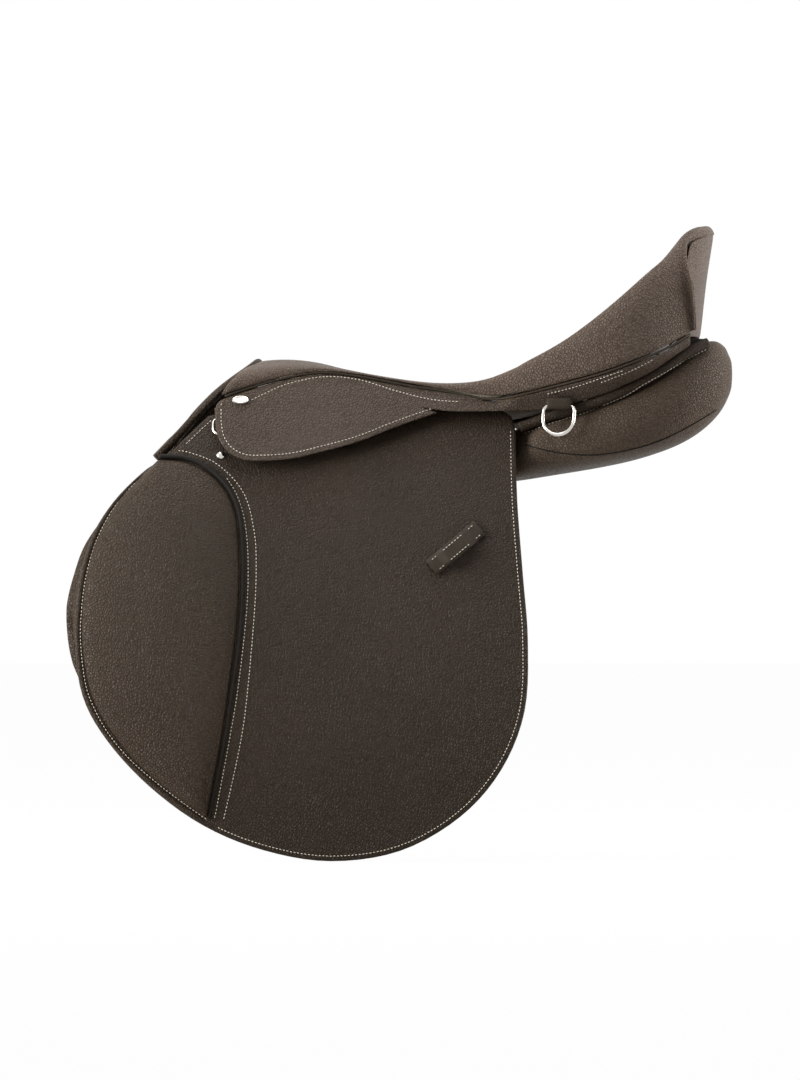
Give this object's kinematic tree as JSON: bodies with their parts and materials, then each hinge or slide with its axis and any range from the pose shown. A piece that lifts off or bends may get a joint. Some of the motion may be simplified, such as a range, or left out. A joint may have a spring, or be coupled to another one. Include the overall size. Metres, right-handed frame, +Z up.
{
  "type": "all-purpose saddle",
  "caption": "English all-purpose riding saddle with spring tree, lifting flaps and skirts, knee pads, stuffed panels, hinged stirrup bar catches, girth straps and swinging D-rings.",
  "frame": {"origin": "on the horse's back under the middle of the seat, in the saddle's middle plane", "axes": "+X towards the cantle, -X towards the pommel, +Y towards the off (right) side, +Z up"},
  "size_m": [0.5742, 0.4242, 0.549],
  "materials": {
    "grain_leather": "satin pebble grain, dark brown",
    "smooth_leather": "satin, finely grained, dark brown",
    "lining_leather": "matt",
    "nickel": "polished nickel plate",
    "forged_steel": "forged, satin",
    "beech_laminate": "sealed beech laminate",
    "web_fabric": "woven web",
    "foam": "open cell foam"
  },
  "bodies": {
    "saddle": {"seat_cover": "grain_leather", "cantle_facing": "smooth_leather", "seat_foam": "foam", "seat_webbing": "web_fabric", "tree": "beech_laminate", "head_plate": "forged_steel", "cantle_plate": "forged_steel", "gullet_lining": "lining_leather", "head_welt": "smooth_leather", "head_facing": "smooth_leather", "girth_web_front": "web_fabric", "girth_web_rear": "web_fabric", "seat_welt_left": "smooth_leather", "seat_welt_right": "smooth_leather", "tree_spring_left": "forged_steel", "tree_spring_right": "forged_steel", "panel_left": "grain_leather", "panel_right": "grain_leather", "panel_welt_left": "smooth_leather", "panel_welt_right": "smooth_leather", "sweat_flap_left": "smooth_leather", "sweat_flap_right": "smooth_leather", "skirt_strip_left": "grain_leather", "skirt_strip_right": "grain_leather", "knee_roll_left": "smooth_leather", "knee_roll_right": "smooth_leather", "thigh_block_left": "smooth_leather", "thigh_block_right": "smooth_leather", "stirrup_bar_left": "forged_steel", "stirrup_bar_right": "forged_steel", "rear_ring_chape_left": "smooth_leather", "rear_ring_chape_right": "smooth_leather", "saddle_nail_left": "nickel", "saddle_nail_right": "nickel"},
    "flap_body_left": {"flap_left": "grain_leather", "knee_pad_left": "grain_leather", "leather_keeper_left": "smooth_leather", "front_staple_left": "nickel", "dome_stud_left": "nickel"},
    "skirt_body_left": {"skirt_left": "grain_leather"},
    "front_ring_body_left": {"front_ring_left": "nickel"},
    "rear_ring_body_left": {"rear_ring_left": "nickel"},
    "bar_catch_body_left": {"bar_catch_left": "forged_steel"},
    "girth_strap_body_front_left": {"girth_strap_front_left": "smooth_leather"},
    "girth_strap_body_middle_left": {"girth_strap_middle_left": "smooth_leather"},
    "girth_strap_body_rear_left": {"girth_strap_rear_left": "smooth_leather"},
    "flap_body_right": {"flap_right": "grain_leather", "knee_pad_right": "grain_leather", "leather_keeper_right": "smooth_leather", "front_staple_right": "nickel", "dome_stud_right": "nickel"},
    "skirt_body_right": {"skirt_right": "grain_leather"},
    "front_ring_body_right": {"front_ring_right": "nickel"},
    "rear_ring_body_right": {"rear_ring_right": "nickel"},
    "bar_catch_body_right": {"bar_catch_right": "forged_steel"},
    "girth_strap_body_front_right": {"girth_strap_front_right": "smooth_leather"},
    "girth_strap_body_middle_right": {"girth_strap_middle_right": "smooth_leather"},
    "girth_strap_body_rear_right": {"girth_strap_rear_right": "smooth_leather"}
  },
  "joints": [
    {"name": "flap_lift_left", "type": "hinge", "parent": "saddle", "child": "flap_body_left", "pos_m": [-0.05, -0.0878, 0.054], "axis": [-0.995, 0.0995, 0], "range_deg": [0, 75]},
    {"name": "skirt_lift_left", "type": "hinge", "parent": "flap_body_left", "child": "skirt_body_left", "pos_m": [-0.05, -0.0878, 0.054], "axis": [-0.995, 0.0995, 0], "range_deg": [0, 50]},
    {"name": "front_ring_swing_left", "type": "hinge", "parent": "flap_body_left", "child": "front_ring_body_left", "pos_m": [-0.171, -0.07337, 0.044], "axis": [-0.995, 0.0995, 0], "range_deg": [0, 5]},
    {"name": "rear_ring_swing_left", "type": "hinge", "parent": "saddle", "child": "rear_ring_body_left", "pos_m": [0.12006, -0.11834, 0.0555], "axis": [-0.9715, 0.2369, 0], "range_deg": [0, 100]},
    {"name": "bar_catch_tip_left", "type": "hinge", "parent": "saddle", "child": "bar_catch_body_left", "pos_m": [-0.07602, -0.07788, 0.034], "axis": [-0.084, -0.8403, 0.5356], "range_deg": [0, 75]},
    {"name": "girth_strap_swing_front_left", "type": "hinge", "parent": "saddle", "child": "girth_strap_body_front_left", "pos_m": [-0.046, -0.09185, 0.0086], "axis": [0.0995, 0.995, 0], "range_deg": [-1, 5]},
    {"name": "girth_strap_swing_middle_left", "type": "hinge", "parent": "saddle", "child": "girth_strap_body_middle_left", "pos_m": [-0.007, -0.09575, 0.0086], "axis": [0.0995, 0.995, 0], "range_deg": [-1, 1]},
    {"name": "girth_strap_swing_rear_left", "type": "hinge", "parent": "saddle", "child": "girth_strap_body_rear_left", "pos_m": [0.031, -0.09955, 0.0086], "axis": [0.0995, 0.995, 0], "range_deg": [-3, 1]},
    {"name": "flap_lift_right", "type": "hinge", "parent": "saddle", "child": "flap_body_right", "pos_m": [-0.05, 0.0878, 0.054], "axis": [0.995, 0.0995, 0], "range_deg": [0, 75]},
    {"name": "skirt_lift_right", "type": "hinge", "parent": "flap_body_right", "child": "skirt_body_right", "pos_m": [-0.05, 0.0878, 0.054], "axis": [0.995, 0.0995, 0], "range_deg": [0, 50]},
    {"name": "front_ring_swing_right", "type": "hinge", "parent": "flap_body_right", "child": "front_ring_body_right", "pos_m": [-0.171, 0.07337, 0.044], "axis": [0.995, 0.0995, 0], "range_deg": [0, 5]},
    {"name": "rear_ring_swing_right", "type": "hinge", "parent": "saddle", "child": "rear_ring_body_right", "pos_m": [0.12006, 0.11834, 0.0555], "axis": [0.9715, 0.2369, 0], "range_deg": [0, 100]},
    {"name": "bar_catch_tip_right", "type": "hinge", "parent": "saddle", "child": "bar_catch_body_right", "pos_m": [-0.07602, 0.07788, 0.034], "axis": [0.084, -0.8403, -0.5356], "range_deg": [0, 75]},
    {"name": "girth_strap_swing_front_right", "type": "hinge", "parent": "saddle", "child": "girth_strap_body_front_right", "pos_m": [-0.046, 0.09185, 0.0086], "axis": [-0.0995, 0.995, 0], "range_deg": [-1, 5]},
    {"name": "girth_strap_swing_middle_right", "type": "hinge", "parent": "saddle", "child": "girth_strap_body_middle_right", "pos_m": [-0.007, 0.09575, 0.0086], "axis": [-0.0995, 0.995, 0], "range_deg": [-1, 1]},
    {"name": "girth_strap_swing_rear_right", "type": "hinge", "parent": "saddle", "child": "girth_strap_body_rear_right", "pos_m": [0.031, 0.09955, 0.0086], "axis": [-0.0995, 0.995, 0], "range_deg": [-3, 1]}
  ]
}
